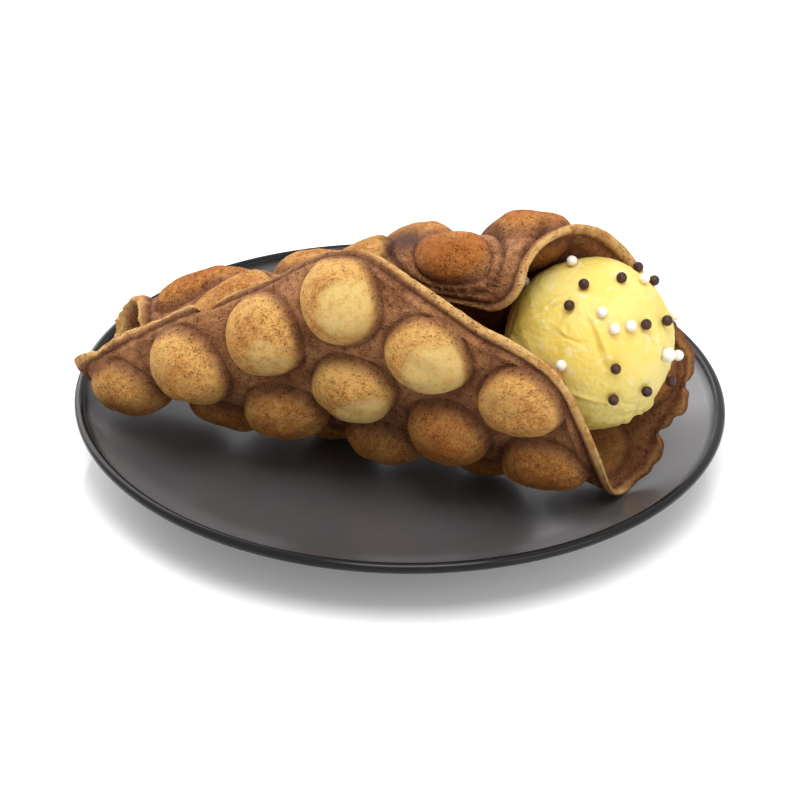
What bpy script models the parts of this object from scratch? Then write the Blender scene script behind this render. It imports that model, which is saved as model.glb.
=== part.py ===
"""Bubble waffle rolled into a cone on a coupe plate, with a scoop of ice cream and sugar pearls.

Metres, +Z up. The origin is the middle of the plate at the bottom of its foot ring. The roll lies
along +X, and the front flap of the waffle looks towards -Y.
"""
import math

import bmesh
import bpy
import numpy as np
from mathutils import Matrix, Vector
from mathutils.bvhtree import BVHTree
from mathutils.geometry import delaunay_2d_cdt

# Clearance between pieces that touch, and the distance below which two points are one
SEAT_GAP = 0.0003
SAME_POINT = 0.00001
# edges sharper than this are shaded as corners
CORNER_ANGLE = math.radians(50)

# Plate: a coupe plate turned on a wheel, with a foot ring and a rounded lip
PLATE_RADIUS = 0.110
PLATE_HEIGHT = 0.022
PLATE_WALL = 0.0038
RIM_WALL = 0.0018
LIP_RADIUS = 0.0017
LIP_SWEEP = math.radians(240)
WELL_RADIUS = 0.066
# the foot ring stands just inside the edge of the flat well
FOOT_INSET = 0.004
FOOT_RADIUS = WELL_RADIUS - FOOT_INSET
FOOT_WIDTH = 0.005
FOOT_HEIGHT = 0.0022
# the flat the foot ring stands on, as shares of its width
FOOT_FLAT_SHARES = (0.25, 0.75)
RISE_POWER = 2.3
RISE_STEPS = 7
LIP_STEPS = 8
PLATE_SEGMENTS = 56

# Waffle sheet: six columns of bubbles, the columns one row height apart
BUBBLE_PITCH = 0.032
COLUMN_COUNTS = (4, 5, 6, 6, 5, 4)
# the front end of each column, in steps of half a pitch from the middle of the sheet
COLUMN_TOPS_SHARE = (2.5, 3.5, 4.5, 5.5, 4.5, 3.5)
BUBBLE_RADIUS = 0.0136
OUTER_RISE = 0.0100
INNER_RISE = 0.0078
SHEET_MARGIN = 0.019
WEB_THICKNESS = 0.0034
EDGE_THICKNESS = 0.0018
BEAD_INSET = 0.0022
BEAD_RISE = 0.0006
GROOVE_INSET = 0.0052
GROOVE_DEPTH = 0.0007
RIM_SPACING = 0.0085
# how much closer the points of the rim's inner rings stand, as a share of their inset
RIM_TIGHTENING_SHARE = 0.25
BUBBLE_SEGMENTS = 12
CORNER_STEPS = 5
# rings of a bubble: radius as a share of its foot, rise as a share of its crown
BUBBLE_RING_SHARES = ((1.0, 0.0), (0.86, 0.54), (0.50, 0.89))

# Batter that ran out past the rim at the narrow end of the roll
TONGUE_LENGTH = 0.010
TONGUE_WIDTH = 0.019
TONGUE_REACH = 0.003

# Roll: bend radius of the sheet at five stations along the keel and eight reaches across it,
# from the end of the back half, over the keel at reach zero, to the edge of the front flap.
# Stations are shares of the keel's length, reaches of half a sheet, bends of a tight bend.
KEEL_LENGTH = 0.180
HALF_SHEET = 0.100
TIGHT_BEND = 0.010
STATION_SHARES = (-0.5, -0.25, 0.0, 0.25, 0.5)
REACH_SHARES = (-1.05, -0.82, -0.55, -0.20, 0.0, 0.20, 0.60, 1.05)
BEND_SHARES = (
    (0.6, 0.8, 1.0, 1.0, 1.0, 3.2, 1.0, 1.0),
    (0.8, 0.9, 1.6, 2.3, 1.6, 7.2, 2.0, 1.1),
    (1.0, 1.0, 4.0, 5.5, 1.6, 3.0, 24.7, 1.3),
    (1.4, 1.4, 9.4, 6.0, 1.5, 2.7, 33.9, 2.4),
    (3.5, 37.8, 40.0, 7.6, 1.0, 34.4, 36.1, 17.4),
)
# turn of the sheet about the keel at each station
KEEL_TURNS = (math.radians(-83), math.radians(-28), math.radians(-29), math.radians(-28), math.radians(4))
KEEL_MIDDLE_X = -0.0049
KEEL_MIDDLE_Y = -0.0059
KEEL_HEADING = math.radians(-22.6)
KEEL_BOW = 0.0099
BOW_LENGTH = 0.100
TIP_LIFT = 0.0165
TIP_LIFT_START = -0.020
TIP_LIFT_LENGTH = 0.090
MOUTH_DROP = 0.0102
MOUTH_DROP_START = 0.055
MOUTH_DROP_LENGTH = 0.040
FRONT_SHEAR = -0.117
BACK_SHEAR = -0.180
BACK_FLARE = 0.342
FLARE_REACH = 0.100
# in a tight bend a crown only has part of the bend's radius to stand in
OUTER_ROOM_SHARE = 0.5
INNER_ROOM_SHARE = 0.35
GRID_STEP = 0.0025
GRID_MARGIN_STEPS = 8

# Where the layers of the roll meet, the crowns between them are pressed flat
PRESS_SHARE = 0.2
UNDER_FLAP_REACH = -0.050
UNDER_FLAP_STATION = -0.030
FLAP_EDGE_REACH = 0.052
FLAP_EDGE_STATION = 0.030
PRESS_EASE = 0.012

# Ice cream: one scoop, set in the mouth of the roll and pressed against its walls
SCOOP_RADIUS = 0.0278
SCOOP_STATION = 0.071
SCOOP_ASIDE = -0.0030
SCOOP_RISE = 0.0425
SCOOP_SUBDIVISIONS = 4
# the ball's flat faces come nearer to the walls than its corners
SCOOP_GAP = 0.0007
# a wall's edge presses the ball over this angle round it, seen from the ball's middle
DENT_ANGLE = math.radians(6)
EDGE_SHARES = (0.0, 0.25, 0.5, 0.75, 1.0)
# steepest step of the ice cream where a wall presses it, as rise over run
PRESSED_SLOPE = 0.6
PRESSING_PASSES = 14
SHRINK_STEP = 0.00008

# Sugar pearls
PEARL_RADIUS = 0.00175
LARGE_PEARL_RADIUS = 0.0023
PEARL_SINK_SHARE = 0.45
PEARL_SEGMENTS = 8
PEARL_RINGS = 6
# places on the scoop, in degrees: turn about +Z from +X, and height above the horizon
DARK_PEARLS = (
    (-110, 67), (-117, 50), (-37, 69), (33, 52), (20, 42), (-48, 35),
    (-23, 29), (-77, 12), (-53, -9), (-17, -18), (-77, -10),
)
WHITE_PEARLS = (
    (158, 75), (-85, 48), (-76, 37), (-62, 37), (-112, 12),
    (-12, -1), (4, 20), (-1, 56), (165, 40),
)
LARGE_PEARLS = (
    (-34, 10),
)


def smooth_step(value):
    value = np.clip(value, 0.0, 1.0)
    return value * value * (3.0 - 2.0 * value)


def blend_rows(values, marks, rows):
    """Rows given at marks, eased between them and held beyond the first and the last."""
    marks = np.asarray(marks)
    rows = np.asarray(rows)
    values = np.clip(values, marks[0], marks[-1])
    low = np.clip(np.searchsorted(marks, values) - 1, 0, len(marks) - 2)
    share = (values - marks[low]) / (marks[low + 1] - marks[low])
    share = (share + smooth_step(share)) / 2
    share = share.reshape(share.shape + (1,) * (rows.ndim - 1))
    return rows[low] * (1 - share) + rows[low + 1] * share


def remove_everything():
    for item in list(bpy.data.objects):
        bpy.data.objects.remove(item)


def make_material(name, colour, roughness, coat=0.0):
    material = bpy.data.materials.new(name)
    material.use_nodes = True
    shader = material.node_tree.nodes["Principled BSDF"]
    shader.inputs["Base Color"].default_value = (*colour, 1.0)
    shader.inputs["Roughness"].default_value = roughness
    shader.inputs["Metallic"].default_value = 0.0
    shader.inputs["Coat Weight"].default_value = coat
    material.diffuse_color = (*colour, 1.0)
    return material


def add_piece(name, mesh_data, material):
    """Link a bmesh as a named, smooth-shaded object."""
    bmesh.ops.recalc_face_normals(mesh_data, faces=mesh_data.faces)
    mesh = bpy.data.meshes.new(name)
    mesh_data.to_mesh(mesh)
    mesh_data.free()
    mesh.shade_smooth()
    mesh.set_sharp_from_angle(angle=CORNER_ANGLE)
    mesh.materials.append(material)
    piece = bpy.data.objects.new(name, mesh)
    bpy.context.scene.collection.objects.link(piece)
    return piece


# Plate


def plate_top(radius):
    """Height of the plate's upper face at a distance from its middle."""
    inner_edge = PLATE_RADIUS - 2 * LIP_RADIUS
    well_height = FOOT_HEIGHT + PLATE_WALL
    climb = PLATE_HEIGHT - LIP_RADIUS - well_height
    share = np.clip((radius - WELL_RADIUS) / (inner_edge - WELL_RADIUS), 0.0, 1.0)
    height = well_height + climb * share ** RISE_POWER
    on_lip = np.clip(radius - (PLATE_RADIUS - LIP_RADIUS), -LIP_RADIUS, LIP_RADIUS)
    crest = PLATE_HEIGHT - LIP_RADIUS + np.sqrt(LIP_RADIUS ** 2 - on_lip ** 2)
    return np.where(radius > inner_edge, crest, height)


def plate_profile():
    """Half section of the plate, from the middle of its upper face round to its underside."""
    points = [(0.0, float(plate_top(0.0)))]
    inner_edge = PLATE_RADIUS - 2 * LIP_RADIUS
    for step in range(RISE_STEPS):
        radius = WELL_RADIUS + (inner_edge - WELL_RADIUS) * step / RISE_STEPS
        points.append((radius, float(plate_top(radius))))
    for step in range(LIP_STEPS + 1):
        turn = math.pi - LIP_SWEEP * step / LIP_STEPS
        across = PLATE_RADIUS - LIP_RADIUS + LIP_RADIUS * math.cos(turn)
        points.append((across, PLATE_HEIGHT - LIP_RADIUS + LIP_RADIUS * math.sin(turn)))
    for step in range(1, RISE_STEPS):
        radius = PLATE_RADIUS + (FOOT_RADIUS - PLATE_RADIUS) * step / RISE_STEPS
        share = min(max((radius - WELL_RADIUS) / (inner_edge - WELL_RADIUS), 0.0), 1.0)
        wall = PLATE_WALL + (RIM_WALL - PLATE_WALL) * share
        below = float(plate_top(min(radius, inner_edge))) - wall
        points.append((radius, max(below, FOOT_HEIGHT)))
    points.append((FOOT_RADIUS, FOOT_HEIGHT))
    points += [(FOOT_RADIUS - FOOT_WIDTH * share, 0.0) for share in FOOT_FLAT_SHARES]
    points.append((FOOT_RADIUS - FOOT_WIDTH, FOOT_HEIGHT))
    points.append((0.0, FOOT_HEIGHT))
    return points


def make_plate():
    data = bmesh.new()
    verts = [data.verts.new((radius, 0.0, height)) for radius, height in plate_profile()]
    edges = [data.edges.new(pair) for pair in zip(verts, verts[1:])]
    bmesh.ops.spin(data, geom=verts + edges, axis=(0, 0, 1), cent=(0, 0, 0),
                   angle=math.tau, steps=PLATE_SEGMENTS, use_merge=True)
    bmesh.ops.remove_doubles(data, verts=data.verts, dist=SAME_POINT)
    bmesh.ops.dissolve_degenerate(data, edges=data.edges, dist=SAME_POINT)
    stoneware = make_material("stoneware", (0.045, 0.042, 0.042), 0.45)
    return add_piece("plate", data, stoneware)


# Waffle sheet, flat


def bubble_columns():
    """Middles of the bubbles, column by column: s along the keel, t across it."""
    row = BUBBLE_PITCH * math.sqrt(3) / 2
    first = -(len(COLUMN_COUNTS) - 1) / 2
    columns = []
    for column, (count, top_share) in enumerate(zip(COLUMN_COUNTS, COLUMN_TOPS_SHARE)):
        s = (first + column) * row
        columns.append([(s, (top_share / 2 - place) * BUBBLE_PITCH) for place in range(count)])
    return columns


def sheet_outline(margin):
    """The hexagon of the outer bubbles, grown by a margin with round corners."""
    columns = bubble_columns()
    foremost = max(columns, key=lambda column: column[0][1])
    corners = [columns[-1][-1], columns[-1][0], foremost[0]]
    corners += [(-s, -t) for s, t in corners]
    points = []
    for place, (s, t) in enumerate(corners):
        last_s, last_t = corners[place - 1]
        next_s, next_t = corners[(place + 1) % len(corners)]
        start = math.atan2(-(s - last_s), t - last_t)
        end = math.atan2(-(next_s - s), next_t - t)
        sweep = (end - start) % math.tau
        for step in range(CORNER_STEPS + 1):
            turn = start + sweep * step / CORNER_STEPS
            points.append((s + margin * math.cos(turn), t + margin * math.sin(turn)))
    return points


def resample_loop(points, spacing):
    """The same closed outline with evenly spaced points."""
    loop = np.array(points + points[:1])
    lengths = np.concatenate([[0.0], np.cumsum(np.hypot(*np.diff(loop, axis=0).T))])
    count = round(lengths[-1] / spacing)
    marks = np.arange(count) * lengths[-1] / count
    return np.stack([np.interp(marks, lengths, loop[:, 0]), np.interp(marks, lengths, loop[:, 1])], 1)


def inside_loop(points, loop):
    """Which points lie inside a closed outline that bulges outwards everywhere."""
    ahead = np.roll(loop, -1, axis=0) - loop
    offset = points[:, None] - loop[None]
    return np.all(ahead[:, 0] * offset[..., 1] - ahead[:, 1] * offset[..., 0] > 0, axis=1)


def press_share(s, t, outer):
    """How much of a crown's rise is left where the layers of the roll lie on each other."""
    if outer:
        under = smooth_step((UNDER_FLAP_REACH - t) / PRESS_EASE + 0.5)
        under = under * smooth_step((UNDER_FLAP_STATION - s) / PRESS_EASE + 0.5)
    else:
        under = smooth_step((t - FLAP_EDGE_REACH) / PRESS_EASE + 0.5)
        under = under * smooth_step((FLAP_EDGE_STATION - s) / PRESS_EASE + 0.5)
    return 1 - under * (1 - PRESS_SHARE)


def draw_out_tongue(s, t):
    """The sheet with its rim drawn out where batter ran past it."""
    column = bubble_columns()[0][0][0]
    root = column - BUBBLE_RADIUS
    share = smooth_step((root - s) / (SHEET_MARGIN - BUBBLE_RADIUS))
    return s - TONGUE_LENGTH * share * np.exp(-((t - TONGUE_REACH) / TONGUE_WIDTH) ** 2)


def flat_pattern():
    """Points of the sheet with their outer and inner heights, and the triangles between them.

    The outer face of a bend is stretched, but a crown is not: the points of a crown are drawn in
    towards its middle, so that it comes out round. Their t on the outer face is listed apart.
    """
    half_web = WEB_THICKNESS / 2
    rings = ((0.0, EDGE_THICKNESS / 2), (BEAD_INSET, half_web + BEAD_RISE),
             (GROOVE_INSET, half_web - GROOVE_DEPTH))
    points, outer, inner, outer_t = [], [], [], []
    rim_count = 0
    for inset, height in rings:
        spacing = RIM_SPACING - inset * RIM_TIGHTENING_SHARE
        loop = resample_loop(sheet_outline(SHEET_MARGIN - inset), spacing)
        rim_count = rim_count or len(loop)
        points += loop.tolist()
        outer_t += loop[:, 1].tolist()
        outer += [height] * len(loop)
        inner += [height] * len(loop)
    centres = sum(bubble_columns(), [])
    for s, t in centres:
        room = bend_room(s, t)
        out_rise = min(OUTER_RISE, OUTER_ROOM_SHARE * room) * press_share(s, t, True)
        in_rise = min(INNER_RISE, INNER_ROOM_SHARE * room) * press_share(s, t, False)
        for ring, (radius_share, rise_share) in enumerate(BUBBLE_RING_SHARES):
            count = BUBBLE_SEGMENTS - 2 * ring
            for step in range(count):
                turn = math.tau * (step + ring / 2) / count
                across = BUBBLE_RADIUS * radius_share * math.sin(turn)
                points.append((s + BUBBLE_RADIUS * radius_share * math.cos(turn), t + across))
                outer_t.append(t + across / (1 + out_rise * rise_share / room))
                outer.append(half_web + out_rise * rise_share)
                inner.append(half_web + in_rise * rise_share)
        points.append((s, t))
        outer_t.append(t)
        outer.append(half_web + out_rise)
        inner.append(half_web + in_rise)
    fillers = web_fillers(centres)
    points += fillers
    outer_t += [t for _, t in fillers]
    outer += [half_web] * len(fillers)
    inner += [half_web] * len(fillers)
    rim_edges = [(place, (place + 1) % rim_count) for place in range(rim_count)]
    flat = [Vector(point) for point in points]
    verts, _, faces, origins, _, _ = delaunay_2d_cdt(flat, rim_edges, [], 1, SAME_POINT)
    source = [origin[0] for origin in origins]
    s, t = np.array(verts).T
    s = draw_out_tongue(s, t)
    return s, t, np.array(outer_t)[source], np.array(outer)[source], np.array(inner)[source], faces


def web_fillers(centres):
    """Points of the flat web: the middles of the triangles between neighbouring bubbles."""
    third = BUBBLE_PITCH / math.sqrt(3)
    spots = []
    for s, t in centres:
        for step in range(6):
            turn = math.tau * step / 6
            spots.append((s + third * math.cos(turn), t + third * math.sin(turn)))
    spots = np.unique(np.round(np.array(spots) / SAME_POINT), axis=0) * SAME_POINT
    loop = np.array(sheet_outline(SHEET_MARGIN - GROOVE_INSET - WEB_THICKNESS))
    spots = spots[inside_loop(spots, loop)]
    return spots.tolist()


# Waffle roll

STATIONS = np.array(STATION_SHARES) * KEEL_LENGTH
REACHES = np.array(REACH_SHARES) * HALF_SHEET
BENDS = 1 / (np.array(BEND_SHARES) * TIGHT_BEND)


def sheet_to_stations(s, t):
    """Stations along the keel of points of the sheet, which shears and flares as it rolls."""
    front = np.maximum(t, 0.0)
    back = np.minimum(t, 0.0)
    return s + FRONT_SHEAR * front + BACK_SHEAR * back + BACK_FLARE * back ** 2 / FLARE_REACH


def bend_room(s, t):
    """Radius to which the sheet is bent at one of its points."""
    across = blend_rows(np.array([t]), REACHES, BENDS.T)
    along = blend_rows(sheet_to_stations(np.array([s]), np.array([t])), STATIONS, across[0])
    return 1 / float(along[0])


def roll_grid():
    """Sections of the roll: aside, rise and turn at even stations and reaches."""
    limit = STATIONS[-1] + GRID_MARGIN_STEPS * GRID_STEP
    count = round(limit / GRID_STEP)
    stations = np.linspace(-limit, limit, 2 * count + 1)
    limit = REACHES[-1] + GRID_MARGIN_STEPS * GRID_STEP
    count = round(limit / GRID_STEP)
    reaches = np.linspace(-limit, limit, 2 * count + 1)
    bends = blend_rows(reaches, REACHES, BENDS.T).T
    bends = blend_rows(stations, STATIONS, bends)
    turns = running_sum(bends, reaches) + blend_rows(stations, STATIONS, KEEL_TURNS)[:, None]
    aside = running_sum(np.cos(turns), reaches)
    rise = running_sum(np.sin(turns), reaches)
    return stations, reaches, aside, rise, turns


def running_sum(values, marks):
    """Integral of each row over the marks, zero at the middle mark."""
    steps = (values[:, 1:] + values[:, :-1]) / 2 * np.diff(marks)
    total = np.concatenate([np.zeros((len(values), 1)), np.cumsum(steps, axis=1)], axis=1)
    return total - total[:, [len(marks) // 2]]


def look_up(grid, stations, reaches, along, across):
    """Bilinear value of a grid."""
    u = (along - stations[0]) / (stations[1] - stations[0])
    v = (across - reaches[0]) / (reaches[1] - reaches[0])
    i = np.clip(u.astype(int), 0, len(stations) - 2)
    j = np.clip(v.astype(int), 0, len(reaches) - 2)
    u = u - i
    v = v - j
    near = grid[i, j] * (1 - v) + grid[i, j + 1] * v
    far = grid[i + 1, j] * (1 - v) + grid[i + 1, j + 1] * v
    return near * (1 - u) + far * u


def keel_place(along, aside, rise):
    """World place of a point given along the keel, beside it and above it."""
    bowed = aside + KEEL_BOW * (along / BOW_LENGTH) ** 2
    level = TIP_LIFT * smooth_step((TIP_LIFT_START - along) / TIP_LIFT_LENGTH)
    level = level - MOUTH_DROP * smooth_step((along - MOUTH_DROP_START) / MOUTH_DROP_LENGTH)
    cos, sin = math.cos(KEEL_HEADING), math.sin(KEEL_HEADING)
    x = KEEL_MIDDLE_X + along * cos + bowed * sin
    y = KEEL_MIDDLE_Y + along * sin - bowed * cos
    return np.stack([x, y, level + rise], axis=-1)


def rolled(s, t, height):
    """World places of points that stand off the middle of the sheet, outwards where positive."""
    stations, reaches, aside, rise, turns = roll_grid()
    along = sheet_to_stations(s, t)
    turn = look_up(turns, stations, reaches, along, t)
    aside = look_up(aside, stations, reaches, along, t) + height * np.sin(turn)
    rise = look_up(rise, stations, reaches, along, t) - height * np.cos(turn)
    return keel_place(along, aside, rise)


def make_waffle():
    s, t, outer_t, outer, inner, faces = flat_pattern()
    count = len(s)
    places = np.concatenate([rolled(s, outer_t, outer), rolled(s, t, -inner)])
    clear = places[:, 2] - plate_top(np.hypot(places[:, 0], places[:, 1]))
    seat = SEAT_GAP - clear[np.hypot(places[:, 0], places[:, 1]) < PLATE_RADIUS].min()
    places[:, 2] += seat
    data = bmesh.new()
    verts = [data.verts.new(place) for place in places]
    for face in faces:
        data.faces.new([verts[corner] for corner in face])
        data.faces.new([verts[corner + count] for corner in reversed(face)])
    data.verts.index_update()
    open_edges = [edge for edge in data.edges if edge.is_boundary and edge.verts[0].index < count]
    for edge in open_edges:
        a, b = edge.verts[0].index, edge.verts[1].index
        if edge.link_loops[0].vert.index == a:
            a, b = b, a
        data.faces.new((verts[a], verts[b], verts[b + count], verts[a + count]))
    baked = make_material("waffle", (0.52, 0.27, 0.10), 0.75)
    return add_piece("waffle", data, baked), seat


# Ice cream


def tree_of(piece):
    """Search tree of a piece's faces as modelled."""
    places = [vertex.co for vertex in piece.data.vertices]
    return BVHTree.FromPolygons(places, [tuple(face.vertices) for face in piece.data.polygons])


def edge_points(piece, centre, reach):
    """Points along a piece's edges that lie within reach of a centre, seen from it."""
    places = np.array([vertex.co for vertex in piece.data.vertices]) - np.array(centre)
    start, end = places[[tuple(edge.vertices) for edge in piece.data.edges]].transpose(1, 0, 2)
    points = np.concatenate([start + (end - start) * share for share in EDGE_SHARES])
    return points[np.linalg.norm(points, axis=1) < reach]


def make_ice_cream(waffle, seat):
    """A ball that stops a gap short of whatever wall of the roll it meets."""
    centre = Vector(keel_place(SCOOP_STATION, SCOOP_ASIDE, SCOOP_RISE + seat))
    walls = tree_of(waffle)
    data = bmesh.new()
    bmesh.ops.create_icosphere(data, subdivisions=SCOOP_SUBDIVISIONS, radius=SCOOP_RADIUS)
    ways = [vertex.co.normalized() for vertex in data.verts]
    radii = []
    for way in ways:
        hit, _, _, distance = walls.ray_cast(centre, way, SCOOP_RADIUS)
        radii.append(distance - SCOOP_GAP if hit else SCOOP_RADIUS)
    radii = np.array(radii)
    for point in edge_points(waffle, centre, SCOOP_RADIUS + SCOOP_GAP):
        distance = np.linalg.norm(point)
        dented = np.array(ways) @ point > distance * math.cos(DENT_ANGLE)
        radii[dented] = np.minimum(radii[dented], distance - SCOOP_GAP)
    for _ in range(PRESSING_PASSES):
        for edge in data.edges:
            a, b = edge.verts[0].index, edge.verts[1].index
            step = edge.calc_length() * PRESSED_SLOPE
            radii[a] = min(radii[a], radii[b] + step)
            radii[b] = min(radii[b], radii[a] + step)
    for vertex, way, radius in zip(data.verts, ways, radii):
        while walls.find_nearest(centre + way * radius)[3] < SCOOP_GAP:
            radius -= SHRINK_STEP
        vertex.co = centre + way * radius
    custard = make_material("ice_cream", (0.86, 0.70, 0.23), 0.5)
    return add_piece("ice_cream", data, custard), centre


# Sugar pearls


def pearl_mesh(name, radius):
    data = bmesh.new()
    bmesh.ops.create_uvsphere(data, u_segments=PEARL_SEGMENTS, v_segments=PEARL_RINGS, radius=radius)
    mesh = bpy.data.meshes.new(name)
    data.to_mesh(mesh)
    data.free()
    mesh.shade_smooth()
    return mesh


def add_pearl(name, place, radius, surface, centre, material, cutters):
    """One pearl and the cutter of the dimple it sits in."""
    turn, height = (math.radians(angle) for angle in place)
    way = Vector((math.cos(height) * math.cos(turn), math.cos(height) * math.sin(turn), math.sin(height)))
    spot = surface.ray_cast(centre, way)[0]
    middle = spot + way * radius * (1 - PEARL_SINK_SHARE)
    settle = Matrix.Translation(middle) @ way.to_track_quat("Z", "Y").to_matrix().to_4x4()
    mesh = pearl_mesh(name, radius)
    mesh.materials.append(material)
    pearl = bpy.data.objects.new(name, mesh)
    pearl.matrix_world = settle
    bpy.context.scene.collection.objects.link(pearl)
    cutter = bpy.data.objects.new("dimple_" + name, pearl_mesh("dimple_" + name, radius + SEAT_GAP))
    cutter.matrix_world = settle
    cutter.hide_render = True
    cutter.display_type = "WIRE"
    cutters.objects.link(cutter)


def make_pearls(ice_cream, centre):
    cutters = bpy.data.collections.new("dimples")
    bpy.context.scene.collection.children.link(cutters)
    surface = tree_of(ice_cream)
    chocolate = make_material("pearl_dark", (0.045, 0.022, 0.015), 0.3)
    sugar = make_material("pearl_white", (0.85, 0.83, 0.78), 0.35)
    for number, place in enumerate(DARK_PEARLS, 1):
        add_pearl(f"pearl_dark_{number:02d}", place, PEARL_RADIUS, surface, centre, chocolate, cutters)
    for number, place in enumerate(WHITE_PEARLS, 1):
        add_pearl(f"pearl_white_{number:02d}", place, PEARL_RADIUS, surface, centre, sugar, cutters)
    for number, place in enumerate(LARGE_PEARLS, len(WHITE_PEARLS) + 1):
        add_pearl(f"pearl_white_{number:02d}", place, LARGE_PEARL_RADIUS, surface, centre, sugar, cutters)
    dimples = ice_cream.modifiers.new("dimples", "BOOLEAN")
    dimples.operation = "DIFFERENCE"
    dimples.operand_type = "COLLECTION"
    dimples.collection = cutters
    dimples.solver = "EXACT"


remove_everything()
make_plate()
waffle, waffle_seat = make_waffle()
ice_cream, scoop_centre = make_ice_cream(waffle, waffle_seat)
make_pearls(ice_cream, scoop_centre)
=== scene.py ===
"""Bubble waffle rolled into a cone on a dark plate, with a scoop of ice cream and sugar pearls."""

import math

import bpy
import numpy as np
from mathutils import Matrix, Vector, noise
from mathutils.bvhtree import BVHTree
from mathutils.geometry import delaunay_2d_cdt


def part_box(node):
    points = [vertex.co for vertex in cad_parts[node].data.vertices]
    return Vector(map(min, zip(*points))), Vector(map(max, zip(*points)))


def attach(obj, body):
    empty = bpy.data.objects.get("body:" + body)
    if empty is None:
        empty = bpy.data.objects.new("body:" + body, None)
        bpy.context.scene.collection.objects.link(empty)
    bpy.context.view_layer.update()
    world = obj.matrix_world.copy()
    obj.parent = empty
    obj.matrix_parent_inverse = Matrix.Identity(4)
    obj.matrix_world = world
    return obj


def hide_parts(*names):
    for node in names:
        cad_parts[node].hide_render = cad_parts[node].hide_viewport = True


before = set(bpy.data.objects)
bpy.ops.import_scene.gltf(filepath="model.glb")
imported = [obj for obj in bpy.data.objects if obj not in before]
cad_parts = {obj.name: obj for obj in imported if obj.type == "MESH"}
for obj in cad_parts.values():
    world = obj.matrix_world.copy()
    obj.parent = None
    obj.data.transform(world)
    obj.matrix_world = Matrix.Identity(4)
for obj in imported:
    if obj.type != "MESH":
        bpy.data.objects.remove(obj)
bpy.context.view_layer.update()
scene = bpy.context.scene


# Camera
# A long lens looks down on the plate by about 30 degrees from 0.8 m. It is tipped and rolled by
# about a degree, as the tilt of the plate's rim shows.

AIM_HEIGHT = 0.022
VIEW_DISTANCE = 0.80
VIEW_ELEVATION = math.radians(29.664)
VIEW_PITCH = math.radians(-0.369)
VIEW_ROLL = math.radians(1.318)
IMAGE_FOCAL = 2354.0
IMAGE_WIDTH = 800.0
SENSOR_WIDTH = 36.0

ahead = Vector((0.0, math.cos(VIEW_ELEVATION), -math.sin(VIEW_ELEVATION)))
right = Vector((1.0, 0.0, 0.0))
above = right.cross(ahead)
look = ahead * math.cos(VIEW_PITCH) + above * math.sin(VIEW_PITCH)
upright = above * math.cos(VIEW_PITCH) - ahead * math.sin(VIEW_PITCH)
across = right * math.cos(VIEW_ROLL) + upright * math.sin(VIEW_ROLL)
upright = upright * math.cos(VIEW_ROLL) - right * math.sin(VIEW_ROLL)
camera_data = bpy.data.cameras.new("camera")
camera_data.sensor_width = SENSOR_WIDTH
camera_data.lens = SENSOR_WIDTH * IMAGE_FOCAL / IMAGE_WIDTH
camera = bpy.data.objects.new("camera", camera_data)
turned = Matrix((across, upright, -look)).transposed().to_4x4()
camera.matrix_world = Matrix.Translation(Vector((0, 0, AIM_HEIGHT)) - ahead * VIEW_DISTANCE) @ turned
scene.collection.objects.link(camera)
scene.camera = camera


# Plate
# A stoneware coupe plate, thrown and turned, with a foot ring below. Its face has a matt charcoal
# glaze with fine specks, and the rounded lip is glazed glossy black.

PLATE_RADIUS = 0.110
PLATE_HEIGHT = 0.022
PLATE_WALL = 0.0038
RIM_WALL = 0.0018
LIP_RADIUS = 0.0017
WELL_RADIUS = 0.066
FOOT_RADIUS = 0.062
FOOT_WIDTH = 0.005
FOOT_HEIGHT = 0.0022
FOOT_STEP = 0.002
FACE_START = 0.012
FACE_GAP = 0.0002
LIP_ARC = math.radians(240)
RISE_POWER = 2.3
GLAZE_GRAIN = 0.00006
LIP_INNER = PLATE_RADIUS - 2 * LIP_RADIUS
WELL_HEIGHT = FOOT_HEIGHT + PLATE_WALL


def new_piece(name, verts, faces, nodes):
    """A smooth-shaded piece that stands for CAD nodes and rides on the root body."""
    mesh = bpy.data.meshes.new(name)
    mesh.from_pydata([tuple(v) for v in verts], [], faces)
    mesh.update()
    mesh.shade_smooth()
    piece = bpy.data.objects.new(name, mesh)
    scene.collection.objects.link(piece)
    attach(piece, "root")
    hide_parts(*nodes)
    return piece


def set_attribute(piece, name, values):
    """A number at every point of a piece, which its material can read by name."""
    layer = piece.data.attributes.new(name, "FLOAT", "POINT")
    layer.data.foreach_set("value", np.asarray(values, dtype=np.float32))


class Nodes:
    """Adds nodes to one shader tree and links them."""

    def __init__(self, tree):
        self.tree = tree

    def add(self, kind, settings=None, **values):
        node = self.tree.nodes.new(kind)
        for key, value in (settings or {}).items():
            setattr(node, key, value)
        for key, value in values.items():
            self.put(node.inputs[key.replace("_", " ")], value)
        return node

    def put(self, socket, value):
        if isinstance(value, bpy.types.NodeSocket):
            self.tree.links.new(value, socket)
        else:
            socket.default_value = value

    def ramp(self, value, low, high, start=0.0, end=1.0):
        return self.add("ShaderNodeMapRange", {"interpolation_type": "SMOOTHSTEP"}, Value=value, From_Min=low,
                        From_Max=high, To_Min=start, To_Max=end).outputs["Result"]

    def math(self, kind, first, second=0.0, third=0.0):
        node = self.add("ShaderNodeMath", {"operation": kind})
        for socket, value in zip(node.inputs, (first, second, third)):
            self.put(socket, value)
        return node.outputs["Value"]

    def blend(self, first, second, share):
        node = self.add("ShaderNodeMix", {"data_type": "RGBA"})
        for index, value in ((0, share), (6, first), (7, second)):
            if isinstance(value, tuple):
                value = (*value, 1.0)
            self.put(node.inputs[index], value)
        return node.outputs[2]


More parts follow.
